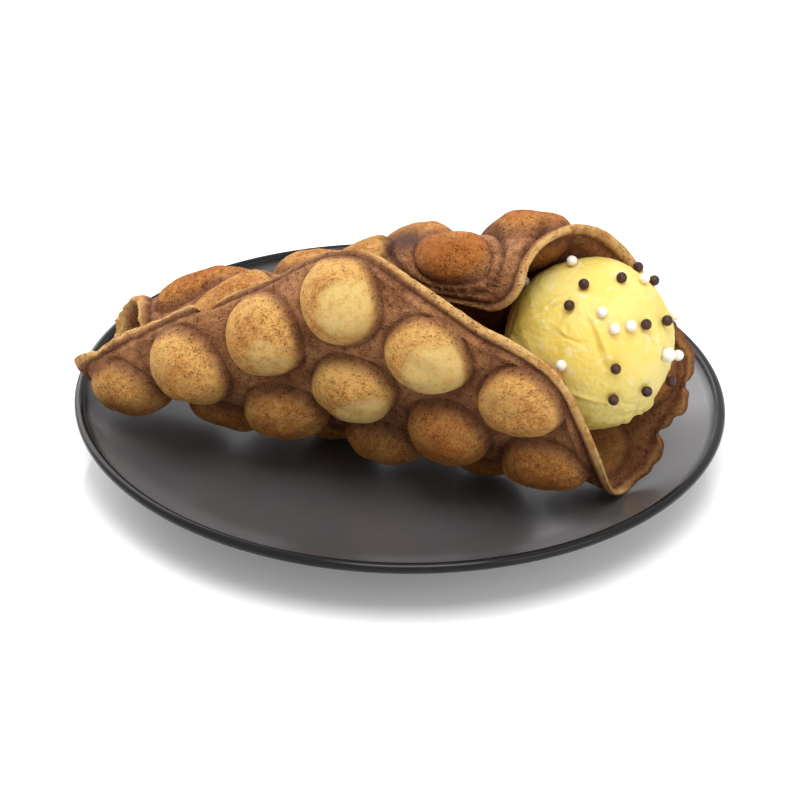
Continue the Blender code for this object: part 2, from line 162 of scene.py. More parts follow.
def new_effect(name, inputs, outputs):
    """A node group with a place and named numbers going in, and named numbers coming out."""
    group = bpy.data.node_groups.new(name, "ShaderNodeTree")
    group.interface.new_socket("Place", in_out="INPUT", socket_type="NodeSocketVector")
    for label in inputs:
        group.interface.new_socket(label, in_out="INPUT", socket_type="NodeSocketFloat")
    for label in outputs:
        group.interface.new_socket(label, in_out="OUTPUT", socket_type="NodeSocketFloat")
    start = group.nodes.new("NodeGroupInput").outputs
    return group, Nodes(group), start, group.nodes.new("NodeGroupOutput").inputs


# cloudy mottling at any scale, as a value and as a mask between two levels of it
MOTTLING, inner, start, end = new_effect("mottling", ("Scale", "Detail", "Roughness", "Low", "High"),
                                         ("Value", "Mask"))
cloud = inner.add("ShaderNodeTexNoise", Vector=start["Place"], Scale=start["Scale"],
                  Detail=start["Detail"], Roughness=start["Roughness"]).outputs["Fac"]
inner.put(end["Value"], cloud)
inner.put(end["Mask"], inner.ramp(cloud, start["Low"], start["High"]))

# scattered round dots, such as glaze specks and burst air bubbles, as a mask
DOTS, inner, start, end = new_effect("dots", ("Scale", "Core", "Edge"), ("Mask",))
away = inner.add("ShaderNodeTexVoronoi", Vector=start["Place"], Scale=start["Scale"]).outputs["Distance"]
inner.put(end["Mask"], inner.ramp(away, start["Core"], start["Edge"], 1.0, 0.0))


class Finish(Nodes):
    """One material, with the shared effects at hand."""

    def __init__(self, name):
        self.material = bpy.data.materials.new(name)
        self.material.use_nodes = True
        super().__init__(self.material.node_tree)
        self.surface = self.tree.nodes["Principled BSDF"]
        self.place = self.add("ShaderNodeTexCoord").outputs["Object"]

    def attribute(self, name):
        return self.add("ShaderNodeAttribute", {"attribute_name": name}).outputs["Fac"]

    def mottling(self, scale, detail=3.0, roughness=0.5, low=0.0, high=1.0):
        return self.add("ShaderNodeGroup", {"node_tree": MOTTLING}, Place=self.place, Scale=scale,
                        Detail=detail, Roughness=roughness, Low=low, High=high).outputs

    def dots(self, scale, core, edge):
        return self.add("ShaderNodeGroup", {"node_tree": DOTS}, Place=self.place, Scale=scale,
                        Core=core, Edge=edge).outputs["Mask"]

    def bump(self, height, distance):
        node = self.add("ShaderNodeBump", Height=height, Distance=distance)
        self.put(self.surface.inputs["Normal"], node.outputs["Normal"])

    def apply(self, piece, **values):
        for key, value in values.items():
            self.put(self.surface.inputs[key.replace("_", " ")], value)
        piece.data.materials.append(self.material)


def plate_top(radius):
    """Height of the plate's face, flat in the well and rising to the lip."""
    share = np.clip((radius - WELL_RADIUS) / (LIP_INNER - WELL_RADIUS), 0.0, 1.0)
    return WELL_HEIGHT + (PLATE_HEIGHT - LIP_RADIUS - WELL_HEIGHT) * share ** RISE_POWER


def turned_profile(profile, segments):
    """Faces of a profile turned about the Z axis, closed at both ends on the axis."""
    profile = np.array(profile)
    rings = profile[1:-1]
    turns = np.arange(segments) * math.tau / segments
    verts = [(0.0, 0.0, profile[0][1])]
    for radius, height in rings:
        verts += [(radius * math.cos(turn), radius * math.sin(turn), height) for turn in turns]
    verts.append((0.0, 0.0, profile[-1][1]))
    faces = []
    for step in range(segments):
        after = (step + 1) % segments
        faces.append((0, 1 + step, 1 + after))
        last = 1 + (len(rings) - 1) * segments
        faces.append((len(verts) - 1, last + after, last + step))
        for ring in range(len(rings) - 1):
            low = 1 + ring * segments
            faces.append((low + step, low + segments + step, low + segments + after, low + after))
    return verts, faces


segments = 288
profile = [(0.0, WELL_HEIGHT)]
profile += [(r, float(plate_top(r))) for r in np.linspace(FACE_START, LIP_INNER - FACE_GAP, 48)]
for step in range(21):
    turn = math.pi - LIP_ARC * step / 20
    profile.append((PLATE_RADIUS - LIP_RADIUS + LIP_RADIUS * math.cos(turn),
                    PLATE_HEIGHT - LIP_RADIUS + LIP_RADIUS * math.sin(turn)))
for r in np.linspace(LIP_INNER, FOOT_RADIUS + 2 * FACE_GAP, 32):
    share = min(max((r - WELL_RADIUS) / (LIP_INNER - WELL_RADIUS), 0.0), 1.0)
    below = float(plate_top(r)) - PLATE_WALL - (RIM_WALL - PLATE_WALL) * share
    profile.append((r, max(below, FOOT_HEIGHT)))
for step in range(9):
    turn = math.pi * step / 8
    profile.append((FOOT_RADIUS - FOOT_WIDTH / 2 + FOOT_WIDTH / 2 * math.cos(turn),
                    FOOT_HEIGHT * (1 - math.sin(turn) ** 0.5)))
profile += [(FOOT_RADIUS - FOOT_WIDTH - FOOT_STEP, FOOT_HEIGHT), (0.0, FOOT_HEIGHT)]
verts, faces = turned_profile(profile, segments)
plate = new_piece("coupe_plate", verts, faces, ["plate"])
reach = np.array([math.hypot(x, y) for x, y, _ in verts])
level = np.array([z for _, _, z in verts])
on_face = (reach < LIP_INNER - 1.5 * FACE_GAP) & (level > plate_top(reach) - PLATE_WALL / 2)
set_attribute(plate, "face", on_face)
glaze = Finish("stoneware")
face = glaze.attribute("face")
clouds = glaze.mottling(30.0, 4.0)["Value"]
grain = glaze.mottling(2600.0, 2.0, 0.5, 0.58, 0.75)
specks = glaze.dots(700.0, 0.05, 0.16)
matt = glaze.blend((0.072, 0.066, 0.068), (0.094, 0.087, 0.089), clouds)
matt = glaze.blend(matt, (0.020, 0.018, 0.018), glaze.math("MULTIPLY", specks, 0.35))
matt = glaze.blend(matt, (0.140, 0.130, 0.132), glaze.math("MULTIPLY", grain["Mask"], 0.5))
gloss = glaze.blend((0.006, 0.006, 0.007), (0.011, 0.010, 0.011), clouds)
rough = glaze.math("MULTIPLY_ADD", face, 0.14, glaze.math("MULTIPLY_ADD", clouds, 0.06, 0.12))
glaze.bump(glaze.math("MULTIPLY", grain["Value"], face), GLAZE_GRAIN)
glaze.apply(plate, Base_Color=glaze.blend(gloss, matt, face), Roughness=rough, Specular_IOR_Level=0.2,
            Coat_Weight=glaze.math("MULTIPLY", face, 0.6), Coat_Roughness=0.2)


# Waffle
# One baked sheet with six columns of hollow bubbles, rolled by hand while it was soft. The front
# flap comes up towards the camera, the keel lies on the plate, and the back half curls over the
# top and in under the flap. A bead and a groove run round its cut edge.

BUBBLE_PITCH = 0.032
COLUMN_COUNTS = (4, 5, 6, 6, 5, 4)
COLUMN_TOPS = (2.5, 3.5, 4.5, 5.5, 4.5, 3.5)
BUBBLE_RADIUS = 0.0136
COLLAR_BUBBLE_RADIUS = 0.0112
OUTER_RISE = 0.0100
INNER_RISE = 0.0078
# a bubble in a tight bend is no higher than these shares of the bend's radius
OUTER_RISE_SHARE = 0.5
INNER_RISE_SHARE = 0.35
CROWN_POWER = 2.3
CROWN_RING_SHARES = (0.80, 0.88, 0.94, 0.98, 1.0, 1.035, 1.08)
FOOT_SHARES = (1.045, 0.035)
FOOT_DEPTH = 0.0007
INNER_FOOT_DEPTH = 0.0004
SHEET_MARGIN = 0.019
SHEET_HALF_WIDTH = 0.095
SHEET_HALF_LENGTH = 0.115
HALF_WEB = 0.0017
HALF_EDGE = 0.0006
EDGE_TAPER = 0.0026
RIM_BAND = 0.0048
RIM_INSETS = (0.0, 0.0003, 0.0009, 0.0017, 0.0025, 0.0033, 0.0041)
# bands along the cut edge: distance from the edge, width and height
BEAD = (0.0013, 0.0009, 0.0004)
GROOVE = (0.0033, 0.0009, 0.0011)
RIDGE = (0.0056, 0.0010, 0.0010)
RIDGE_START = 0.010
RIDGE_RUN = 0.03
# at the mouth's lowest corner the edge is pinched thinner: where, how wide and the share taken off
MOUTH_START = 0.06
PINCH_MIDDLE = 0.004
PINCH_WIDTH = 0.014
PINCH_SHARE = 0.45
# how far the edge is ragged, how much more where it is torn, and how far in that reaches
RAGGED_DEPTH = 0.00022
TORN_DEPTH = 0.0004
NICK_DEPTH = 0.0003
TORN_NICK_DEPTH = 0.0008
RAGGED_REACH = 0.009
TORN_START = -0.030
TORN_RUN = 0.020
MOUTH_TORN_BELOW = -0.003
# sizes of the crust's unevenness, from the shreds of its edge to the waves of its crowns
SHRED_SIZE = 0.0022
BUMP_SIZE = 0.0035
LUMP_SIZE = 0.0055
NICK_SIZE = 0.006
WAVE_SIZE = 0.010
WEB_BUMP_HEIGHT = 0.00012
CROWN_BUMP_HEIGHT = 0.00015
WEB_BUMP_REACH = 0.004
# the tongue of batter at the narrow end: length, where it starts, its run, middle and half width
TONGUE_LENGTH = 0.010
TONGUE_START = -0.0829
TONGUE_RUN = 0.0054
TONGUE_MIDDLE = 0.003
TONGUE_HALF_WIDTH = 0.015
# folds of the collar round its smaller bubble
FOLD_DEPTH = 0.0017
FOLD_COUNT = 2.6
FOLD_REACH = 0.030
FOLD_FADE = 0.014
COLLAR_START = -0.058
COLLAR_FADE = 0.012
STATIONS = (-0.090, -0.045, 0.000, 0.045, 0.090)
REACHES = (-0.105, -0.082, -0.055, -0.020, 0.0, 0.020, 0.060, 0.105)
BEND_RADII = (
    (0.006, 0.008, 0.010, 0.010, 0.010, 0.032, 0.010, 0.010),
    (0.008, 0.009, 0.016, 0.023, 0.016, 0.072, 0.020, 0.011),
    (0.010, 0.010, 0.040, 0.055, 0.016, 0.030, 0.247, 0.013),
    (0.014, 0.014, 0.094, 0.060, 0.015, 0.027, 0.339, 0.024),
    (0.035, 0.378, 0.400, 0.076, 0.010, 0.344, 0.361, 0.174),
)
# where the edge is bitten off (or runs out, where negative): place on the sheet, depth and width
EDGE_BITES = (
    (0.0883, -0.0160, -0.0045, 0.0095), (0.0883, -0.0340, -0.0036, 0.0055),
    (0.0883, -0.0250, 0.0034, 0.0018), (0.0883, -0.0145, 0.0008, 0.0016),
    (0.0883, -0.0310, 0.0016, 0.0020), (0.0883, -0.0430, 0.0032, 0.0014),
    (0.0883, -0.0460, 0.0016, 0.0030), (0.0865, 0.0620, 0.0032, 0.0160),
    (-0.0100, -0.1068, -0.0048, 0.0110),
    (-0.0385, 0.0797, 0.0048, 0.0030), (-0.0350, 0.0822, 0.0018, 0.0050),
    (-0.0270, 0.0865, -0.0008, 0.0022), (-0.0790, 0.0570, 0.0013, 0.0060),
    (-0.0882, 0.0345, 0.0013, 0.0060), (-0.0866, 0.0479, -0.0014, 0.0035),
)
KEEL_TURNS = tuple(math.radians(turn) for turn in (-83, -28, -29, -28, 4))
KEEL_MIDDLE = (-0.0049, -0.0059)
KEEL_HEADING = math.radians(-22.6)
KEEL_BOW = 0.0099
KEEL_BOW_REACH = 0.100
KEEL_HEIGHT = 0.0200
TIP_LIFT = 0.0165
TIP_LIFT_START = -0.020
TIP_LIFT_RUN = 0.090
MOUTH_DROP = 0.0102
MOUTH_DROP_START = 0.055
MOUTH_DROP_RUN = 0.040
# how the lines that bend alike lean across the sheet, in front of the keel and behind it
FRONT_LEAN = 0.117
BACK_LEAN = 0.180
BACK_TWIST = 0.342
BACK_TWIST_REACH = 0.100
STATION_REACH = 0.110
KEEL_REACH = 0.125
# places on the sheet past which it runs in under the flap, and past which the flap lies over it;
# the bubbles that touch there are pressed to a share of their height
UNDER_FLAP = (-0.030, -0.050)
OVER_BACK = (0.030, 0.052)
PRESS_FADE = 0.012
PRESSED_SHARE = 0.2
COLUMN_PITCH = BUBBLE_PITCH * math.sqrt(3) / 2


def smooth_step(value):
    """Eased rise from 0 to 1, held beyond both."""
    value = np.clip(value, 0.0, 1.0)
    return value * value * (3.0 - 2.0 * value)


def blend_rows(values, marks, rows):
    """Rows given at marks, eased between them and held beyond the first and the last."""
    marks = np.asarray(marks)
    rows = np.asarray(rows)
    values = np.clip(values, marks[0], marks[-1])
    low = np.clip(np.searchsorted(marks, values) - 1, 0, len(marks) - 2)
    share = (values - marks[low]) / (marks[low + 1] - marks[low])
    share = (share + smooth_step(share)) / 2
    share = share.reshape(share.shape + (1,) * (rows.ndim - 1))
    return rows[low] * (1 - share) + rows[low + 1] * share


def bubble_centres():
    """Places of the bubbles on the flat sheet, column by column from the tip to the mouth."""
    centres = []
    for column, (count, top) in enumerate(zip(COLUMN_COUNTS, COLUMN_TOPS)):
        for place in range(count):
            centres.append(((column - 2.5) * COLUMN_PITCH, (top / 2 - place) * BUBBLE_PITCH))
    return np.array(centres)


# corners of the hexagon through the outer bubbles
CORNERS = [(2.5 * COLUMN_PITCH, -1.25 * BUBBLE_PITCH), (2.5 * COLUMN_PITCH, 1.75 * BUBBLE_PITCH),
           (0.5 * COLUMN_PITCH, 2.75 * BUBBLE_PITCH)]
CORNERS = np.array(CORNERS + [(-s, -t) for s, t in CORNERS])


def beyond_hexagon(points):
    """How far points lie outside the hexagon (negative inside), and the way out."""
    away = np.full(len(points), np.inf)
    way = np.zeros_like(points)
    inside = np.ones(len(points), bool)
    for a, b in zip(CORNERS, np.roll(CORNERS, -1, axis=0)):
        side = b - a
        share = np.clip((points - a) @ side / (side @ side), 0, 1)
        offset = points - (a + share[:, None] * side)
        distance = np.hypot(*offset.T)
        nearer = distance < away
        away[nearer] = distance[nearer]
        way[nearer] = offset[nearer] / np.maximum(distance[nearer], 1e-9)[:, None]
        inside &= side[0] * (points[:, 1] - a[1]) - side[1] * (points[:, 0] - a[0]) > 0
    return np.where(inside, -away, away), np.where(inside[:, None], -way, way)


def rim_loop(margin, spacing):
    """Even points on the hexagon grown by a margin."""
    turns = np.linspace(0, math.tau, 20000, endpoint=False)
    rays = np.stack([np.cos(turns), np.sin(turns)], 1)
    low, high = np.zeros(len(rays)), np.full(len(rays), 0.15)
    for _ in range(30):
        middle = (low + high) / 2
        out = beyond_hexagon(rays * middle[:, None])[0] > margin
        low, high = np.where(out, low, middle), np.where(out, middle, high)
    loop = rays * low[:, None]
    steps = np.hypot(*(np.roll(loop, -1, axis=0) - loop).T)
    marks = np.concatenate([[0], np.cumsum(steps)])
    wanted = np.arange(round(marks[-1] / spacing)) * marks[-1] / round(marks[-1] / spacing)
    loop = np.concatenate([loop, loop[:1]])
    return np.stack([np.interp(wanted, marks, loop[:, 0]), np.interp(wanted, marks, loop[:, 1])], 1)


def press_share(s, t, outer):
    """Share of its height that a bubble keeps, on one face, where the sheet lies on itself."""
    if outer:
        along, past = UNDER_FLAP[0] - s, UNDER_FLAP[1] - t
    else:
        along, past = OVER_BACK[0] - s, t - OVER_BACK[1]
    pressed = smooth_step(past / PRESS_FADE + 0.5) * smooth_step(along / PRESS_FADE + 0.5)
    return 1 - pressed * (1 - PRESSED_SHARE)


def sheet_to_stations(s, t):
    """Place along the keel whose bends a point of the sheet takes part in."""
    back = np.minimum(t, 0.0)
    twist = BACK_TWIST * back ** 2 / BACK_TWIST_REACH
    return s - FRONT_LEAN * np.maximum(t, 0.0) - BACK_LEAN * back + twist


def bend_room(s, t):
    """Radius of the bend at each place of the sheet."""
    bends = blend_rows(t, REACHES, 1 / np.array(BEND_RADII).T)
    along = sheet_to_stations(s, t)
    return np.array([1 / float(blend_rows(along[k:k + 1], STATIONS, bends[k])[0])
                     for k in range(len(s))])


def running_sum(values, marks):
    """Values summed up along each row, from zero at its middle mark."""
    steps = (values[:, 1:] + values[:, :-1]) / 2 * np.diff(marks)
    total = np.concatenate([np.zeros((len(values), 1)), np.cumsum(steps, axis=1)], axis=1)
    return total - total[:, [len(marks) // 2]]


def look_up(grid, stations, reaches, along, across_keel):
    """Value of a grid between its stations and reaches."""
    u = (along - stations[0]) / (stations[1] - stations[0])
    v = (across_keel - reaches[0]) / (reaches[1] - reaches[0])
    i = np.clip(u.astype(int), 0, len(stations) - 2)
    j = np.clip(v.astype(int), 0, len(reaches) - 2)
    u, v = u - i, v - j
    near = grid[i, j] * (1 - v) + grid[i, j + 1] * v
    far = grid[i + 1, j] * (1 - v) + grid[i + 1, j + 1] * v
    return near * (1 - u) + far * u


def keel_place(along, aside, rise):
    """World places of points given along the keel, aside of it and above it."""
    bowed = aside + KEEL_BOW * (along / KEEL_BOW_REACH) ** 2
    height = TIP_LIFT * smooth_step((TIP_LIFT_START - along) / TIP_LIFT_RUN)
    height = height - MOUTH_DROP * smooth_step((along - MOUTH_DROP_START) / MOUTH_DROP_RUN) + KEEL_HEIGHT
    cos, sin = math.cos(KEEL_HEADING), math.sin(KEEL_HEADING)
    return np.stack([KEEL_MIDDLE[0] + along * cos + bowed * sin,
                     KEEL_MIDDLE[1] + along * sin - bowed * cos, height + rise], axis=-1)


def rolled(s, t, height):
    """World places of points that stand off the middle of the sheet, outwards where positive."""
    stations = np.linspace(-STATION_REACH, STATION_REACH, 89)
    reaches = np.linspace(-KEEL_REACH, KEEL_REACH, 101)
    bends = blend_rows(reaches, REACHES, 1 / np.array(BEND_RADII).T).T
    bends = blend_rows(stations, STATIONS, bends)
    turns = running_sum(bends, reaches) + blend_rows(stations, STATIONS, KEEL_TURNS)[:, None]
    aside = running_sum(np.cos(turns), reaches)
    rise = running_sum(np.sin(turns), reaches)
    along = sheet_to_stations(s, t)
    turn = look_up(turns, stations, reaches, along, t)
    aside = look_up(aside, stations, reaches, along, t) + height * np.sin(turn)
    rise = look_up(rise, stations, reaches, along, t) - height * np.cos(turn)
    return keel_place(along, aside, rise)


def soft_noise(places, size, seed=0):
    """Smooth noise from about -1 to 1 at places in metres, with features of one size."""
    shift = Vector((seed * 7.3, seed * 3.1, seed * 5.7))
    return np.array([noise.noise(Vector(p) / size + shift) for p in places])


def band(distance, place, width):
    """A soft band, 1 in its middle."""
    return np.exp(-((distance - place) / width) ** 2)


centres = bubble_centres()
radii = np.full(len(centres), BUBBLE_RADIUS)
on_collar = np.argmin(np.hypot(centres[:, 0] + COLUMN_PITCH / 2, centres[:, 1] + 2.75 * BUBBLE_PITCH))
radii[on_collar] = COLLAR_BUBBLE_RADIUS
spacing = 0.0011
rows = np.arange(-SHEET_HALF_LENGTH, SHEET_HALF_LENGTH, spacing * math.sqrt(3) / 2)
points = []
for index, t in enumerate(rows):
    line = np.arange(-SHEET_HALF_WIDTH + spacing / 2 * (index % 2), SHEET_HALF_WIDTH, spacing)
    points.append(np.stack([line, np.full(len(line), t)], 1))
points = np.concatenate(points)
away = np.hypot(points[:, None, 0] - centres[:, 0], points[:, None, 1] - centres[:, 1]) / radii
ring_middle = (CROWN_RING_SHARES[0] + CROWN_RING_SHARES[-1]) / 2
ring_half = (CROWN_RING_SHARES[-1] - CROWN_RING_SHARES[0]) / 2
clear = (np.abs(away - ring_middle) > ring_half + 0.6 * spacing / BUBBLE_RADIUS).all(axis=1)
points = points[clear & (beyond_hexagon(points)[0] < SHEET_MARGIN - RIM_BAND)]
ring_count = 80
turns = np.arange(ring_count) * math.tau / ring_count
rings = []
for (s, t), radius in zip(centres, radii):
    for order, ring in enumerate(CROWN_RING_SHARES):
        turn = turns + order % 2 * math.pi / ring_count
        rings.append(np.stack([s + radius * ring * np.cos(turn), t + radius * ring * np.sin(turn)], 1))
rings = np.concatenate(rings)
rings = rings[beyond_hexagon(rings)[0] < SHEET_MARGIN - RIM_BAND]
loops = [rim_loop(SHEET_MARGIN - inset, spacing) for inset in RIM_INSETS]
rim_count = len(loops[0])
flat = [Vector(p) for p in np.concatenate(loops + [points, rings])]
edges = [(k, (k + 1) % rim_count) for k in range(rim_count)]
verts, _, faces, _, _, _ = delaunay_2d_cdt(flat, edges, [], 1, 1e-7)
sheet = np.array([tuple(v) for v in verts])
beyond, way_out = beyond_hexagon(sheet)
inset = SHEET_MARGIN - beyond
at_mouth = sheet[:, 0] > MOUTH_START

# the baked edge is a little ragged, torn at the tip and bitten on the right of the mouth
lace = np.column_stack([sheet, np.zeros(len(sheet))])
torn = smooth_step((TORN_START - sheet[:, 0]) / TORN_RUN) + at_mouth * (sheet[:, 1] < MOUTH_TORN_BELOW)
ragged = (RAGGED_DEPTH + TORN_DEPTH * torn) * (1 + soft_noise(lace, SHRED_SIZE, 1))
nicks = np.maximum(soft_noise(lace, NICK_SIZE, 2), 0)
ragged = ragged + (NICK_DEPTH + TORN_NICK_DEPTH * torn) * nicks
for s, t, depth, width in EDGE_BITES:
    ragged += depth * np.exp(-((sheet[:, 0] - s) ** 2 + (sheet[:, 1] - t) ** 2) / width ** 2)
warped = sheet - way_out * (ragged * smooth_step(1 - inset / RAGGED_REACH))[:, None]
s, t = warped.T
# batter ran out past the rim at the narrow end of the roll
from_middle = np.abs(t - TONGUE_MIDDLE) / TONGUE_HALF_WIDTH
s = s - TONGUE_LENGTH * smooth_step((TONGUE_START - s) / TONGUE_RUN) * np.exp(-from_middle ** 1.4)

# the crowns, a groove round each foot, and the bead, groove and ridge along the edge
offset = sheet[:, None] - centres
distance = np.hypot(offset[..., 0], offset[..., 1])
owner = (distance / radii).argmin(axis=1)
offset = offset[np.arange(len(sheet)), owner]
wavy = soft_noise(lace, WAVE_SIZE, 3)
bumpy = soft_noise(lace, BUMP_SIZE, 4)
lumpy = soft_noise(lace, LUMP_SIZE, 5)
share = np.hypot(*offset.T) / radii[owner]
bearing = np.arctan2(offset[:, 1], offset[:, 0])
uneven = [noise.noise(Vector((math.cos(turn) * 1.3, math.sin(turn) * 1.3, bubble * 3.7)))
          for turn, bubble in zip(bearing, owner)]
share = share * (1 + 0.07 * np.array(uneven) * smooth_step(share / 0.6))
crown = np.sqrt(np.maximum(0, 1 - np.minimum(share, 1) ** CROWN_POWER))
room = bend_room(centres[:, 0], centres[:, 1])
press_out = np.array([press_share(a, b, True) for a, b in centres])
press_in = np.array([press_share(a, b, False) for a, b in centres])
rise_out = (np.minimum(OUTER_RISE, OUTER_RISE_SHARE * room) * press_out)[owner]
rise_in = (np.minimum(INNER_RISE, INNER_RISE_SHARE * room) * press_in)[owner]
foot = band(share, *FOOT_SHARES)
bead = band(inset, *BEAD[:2])
groove = band(inset, *GROOVE[:2])
ridge = band(inset, *RIDGE[:2]) * (1 - crown) * smooth_step((sheet[:, 1] - RIDGE_START) / RIDGE_RUN)
pinch = 1 - PINCH_SHARE * band(sheet[:, 1], PINCH_MIDDLE, PINCH_WIDTH) * at_mouth
body = pinch * (HALF_EDGE + (HALF_WEB - HALF_EDGE) * smooth_step(inset / EDGE_TAPER))
body = body + BEAD[2] * bead - GROOVE[2] * groove + RIDGE[2] * ridge
body = body + WEB_BUMP_HEIGHT * bumpy * smooth_step(inset / WEB_BUMP_REACH)
# folds run round the smaller bubble of the collar, and along its edge
collar_gap = np.maximum(distance[:, on_collar] - COLLAR_BUBBLE_RADIUS, 0.0)
between = collar_gap / (collar_gap + np.maximum(inset, 0.0) + 1e-6)
collar = smooth_step((FOLD_REACH - collar_gap) / FOLD_FADE) * smooth_step((COLLAR_START - t) / COLLAR_FADE)
creased = 1 - np.abs(np.cos(math.pi * (FOLD_COUNT * between + 0.10 * wavy - 0.30)))
creased = collar * (1 - crown) * smooth_step((creased - 0.35) / 0.6)
outer = body + rise_out * crown * (0.97 + 0.05 * wavy + 0.07 * lumpy)
outer = outer + CROWN_BUMP_HEIGHT * bumpy * crown - FOOT_DEPTH * foot - FOLD_DEPTH * creased
inner = body + rise_in * crown * (1 + 0.03 * wavy) - INNER_FOOT_DEPTH * foot
count = len(sheet)
# the outer face of a bend is stretched but a crown is not, so its points are drawn in
middle_t = centres[owner, 1]
outer_t = np.where(share < 1, middle_t + (t - middle_t) / (1 + rise_out * crown / room[owner]), t)
places = np.concatenate([rolled(s, outer_t, outer), rolled(s, t, -inner)])
# no lump stands above the highest place of the solid waffle
places[:, 2] = np.minimum(places[:, 2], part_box("waffle")[1][2])
triangles = [tuple(f) for f in faces] + [tuple(k + count for k in reversed(f)) for f in faces]
sides = {(a, b): True for face in faces for a, b in zip(face, face[1:] + face[:1])}
wall = [(b, a, a + count, b + count) for a, b in sides if (b, a) not in sides]
waffle = new_piece("rolled_waffle", places, triangles + wall, ["waffle"])

# a dark patch on the web
DARK_PATCH_PLACE = (-0.026, -0.074)
DARK_PATCH_RADIUS = 0.013
DARK_PATCH_WAVE = 0.003
DARK_PATCH_FADE = 0.009
# where the colours and the painted shade of the crust start across the sheet, and over what length they come
# up
BEAD_BROWNING = (0.0006, 0.0009)
# the ring round each bubble's foot is painted shade in its groove
FOOT_SHADE_SHARES = (1.025, 0.042)
CUT_WIDTH = 0.0010
GROOVE_SHADE_START = -0.06
LOW_START = 0.030
LOW_RUN = 0.030
FAR_TIP_START = (-0.020, -0.030)
FAR_TIP_RUN = 0.020
DULL_START = (0.050, 0.002)
DULL_RUN = (0.02, 0.01)
DEEP_START = 0.003
DEEP_RUN = 0.020
CRUST_GRAIN = 0.0008
# each bubble browns more or less than its neighbours, and has a paler patch where its skin is thin:
# for the bubbles in view (column, place), its offset and size in shares of the bubble, and strength
PATCH_SHARES = {(3, 0): (0.42, -0.05, 0.66, 1.0), (4, 0): (0.42, -0.15, 0.78, 1.0),
                (2, 0): (0.40, -0.30, 0.52, 0.65), (3, 1): (0.45, -0.40, 0.66, 1.0),
                (1, 0): (-0.45, 0.35, 0.40, 0.35), (5, 0): (-0.30, 0.42, 0.50, 0.35)}
tones = np.array([noise.noise(Vector((a * 61, b * 61, 2.5))) for a, b in centres])
tones[on_collar] = 0.8
# the lower bubbles are painted darker: partly they browned more, partly it is painted shade on their
# undersides
lower_browning_and_shade = 1 - smooth_step((centres[:, 1] - LOW_START) / LOW_RUN)
far_tip = np.prod(smooth_step((FAR_TIP_START - centres) / FAR_TIP_RUN), axis=1)
lower_browning_and_shade = 1.1 * lower_browning_and_shade * (1 - 0.7 * far_tip)
patch = np.zeros((len(centres), 4))
places_in = [(column, place) for column, total in enumerate(COLUMN_COUNTS) for place in range(total)]
for index, key in enumerate(places_in):
    lean = tones[index] * 9
    patch[index] = PATCH_SHARES.get(key, (0.45 * math.cos(lean), 0.45 * math.sin(lean), 0.35, 0.30))
apart = offset / radii[owner, None] - patch[owner, :2]
cheek = smooth_step((patch[owner, 2] + 0.10 * wavy + 0.07 * bumpy - np.hypot(*apart.T)) / 0.36 + 0.5)
cheek = cheek * patch[owner, 3] * smooth_step((1.0 - share) / 0.12)
set_attribute(waffle, "crown", np.tile(smooth_step((1.02 - share) / 0.14), 2))
set_attribute(waffle, "foot", np.tile(band(share, *FOOT_SHADE_SHARES), 2))
set_attribute(waffle, "heart", np.tile(smooth_step((0.95 - share + 0.15 * wavy) / 0.55), 2))
set_attribute(waffle, "bead", np.tile(band(inset, *BEAD_BROWNING), 2))
# painted shade in the groove along the edge and in the folds of the collar, fainter in the groove of the
# inner face
groove_and_fold_shade = groove * (sheet[:, 1] > GROOVE_SHADE_START) + np.clip(1.3 * creased, 0, 1)
set_attribute(waffle, "crease_shade", np.concatenate([np.clip(groove_and_fold_shade, 0, 1), 0.5 * groove]))
from_dark_patch = np.hypot(*(sheet - DARK_PATCH_PLACE).T)
dark_patch = smooth_step((DARK_PATCH_RADIUS + DARK_PATCH_WAVE * wavy - from_dark_patch) / DARK_PATCH_FADE) * (1 - crown)
set_attribute(waffle, "dark_patch", np.tile(dark_patch, 2))
set_attribute(waffle, "rim", np.tile(band(inset, 0.0, CUT_WIDTH), 2))
set_attribute(waffle, "cheek", np.tile(cheek, 2))
set_attribute(waffle, "tone_and_low_shade", np.tile(0.25 + 0.35 * tones[owner] + 0.6 * lower_browning_and_shade[owner], 2))
# the cut edge is darker along the lower side of the mouth
darker_mouth_edge = smooth_step((s - DULL_START[0]) / DULL_RUN[0]) * smooth_step((DULL_START[1] - t) / DULL_RUN[1])
set_attribute(waffle, "mouth_edge_darkening", np.tile(darker_mouth_edge, 2))
# the inner face is painted darker, most deep inside the roll: painted shade
deeper_shade = 0.45 + 0.55 * smooth_step((inset - DEEP_START) / DEEP_RUN)
set_attribute(waffle, "inside", np.concatenate([0 * deeper_shade, deeper_shade]))

crust = Finish("waffle")
cheek_at = crust.attribute("cheek")
tone_and_low_shade = crust.attribute("tone_and_low_shade")
clouds = crust.mottling(110.0, 4.0, 0.6, 0.32, 0.62)
mottle = crust.mottling(430.0, 5.0, 0.7, 0.48, 0.66)
fine = crust.mottling(1500.0, 5.0, 0.7, 0.48, 0.68)
